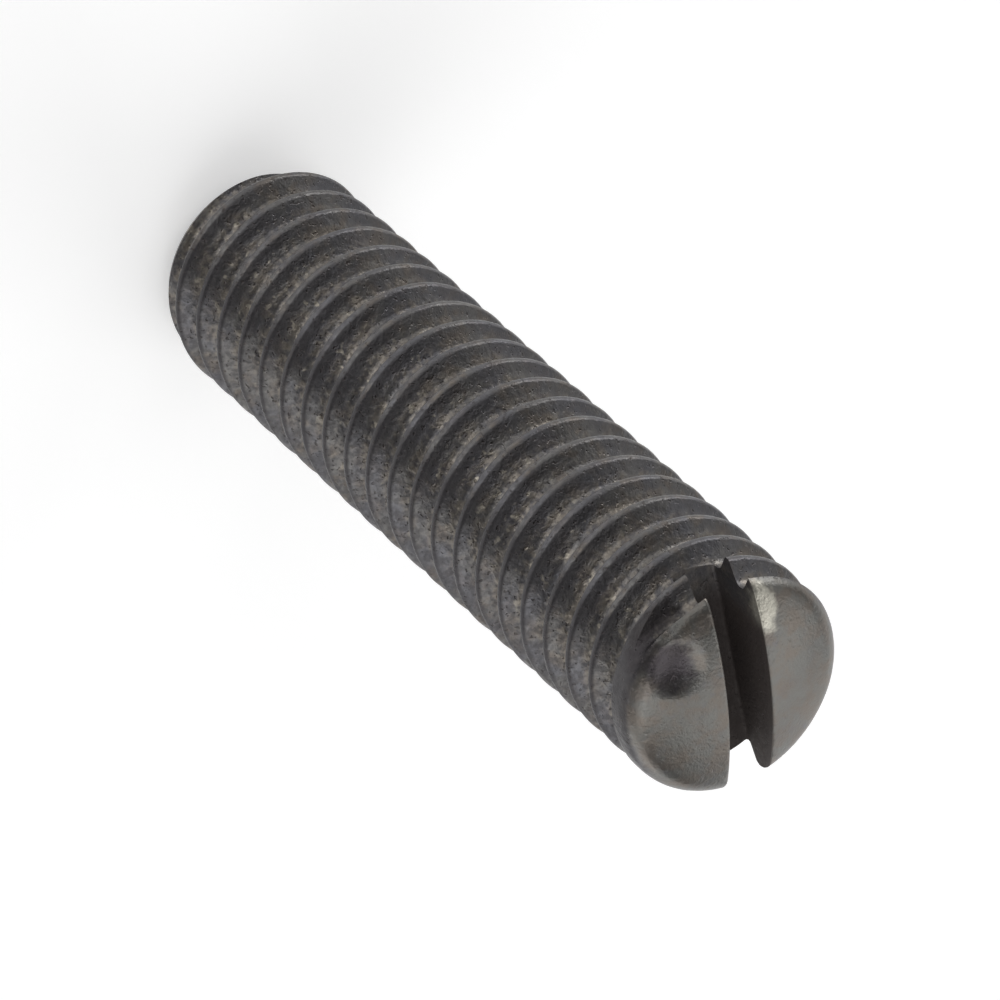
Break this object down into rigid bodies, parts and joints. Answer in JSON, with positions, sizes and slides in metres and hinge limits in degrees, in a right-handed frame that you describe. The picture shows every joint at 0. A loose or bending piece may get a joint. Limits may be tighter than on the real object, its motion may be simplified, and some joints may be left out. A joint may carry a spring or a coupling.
{
  "type": "grub screw",
  "caption": "Headless slotted set screw with a flat point, a crowned slotted end and a fine right-hand thread along its whole length.",
  "frame": {"origin": "centre of the flat point's face, on the screw's axis", "axes": "+Z along the screw's axis from the point to the slotted end, +X along the slot towards its deeper end"},
  "size_m": [0.0038, 0.0038, 0.016],
  "materials": {
    "dark_steel": "dark oiled steel, slightly pitted, with brighter thread crests"
  },
  "bodies": {
    "root": {"grub_screw": "dark_steel"}
  },
  "joints": []
}
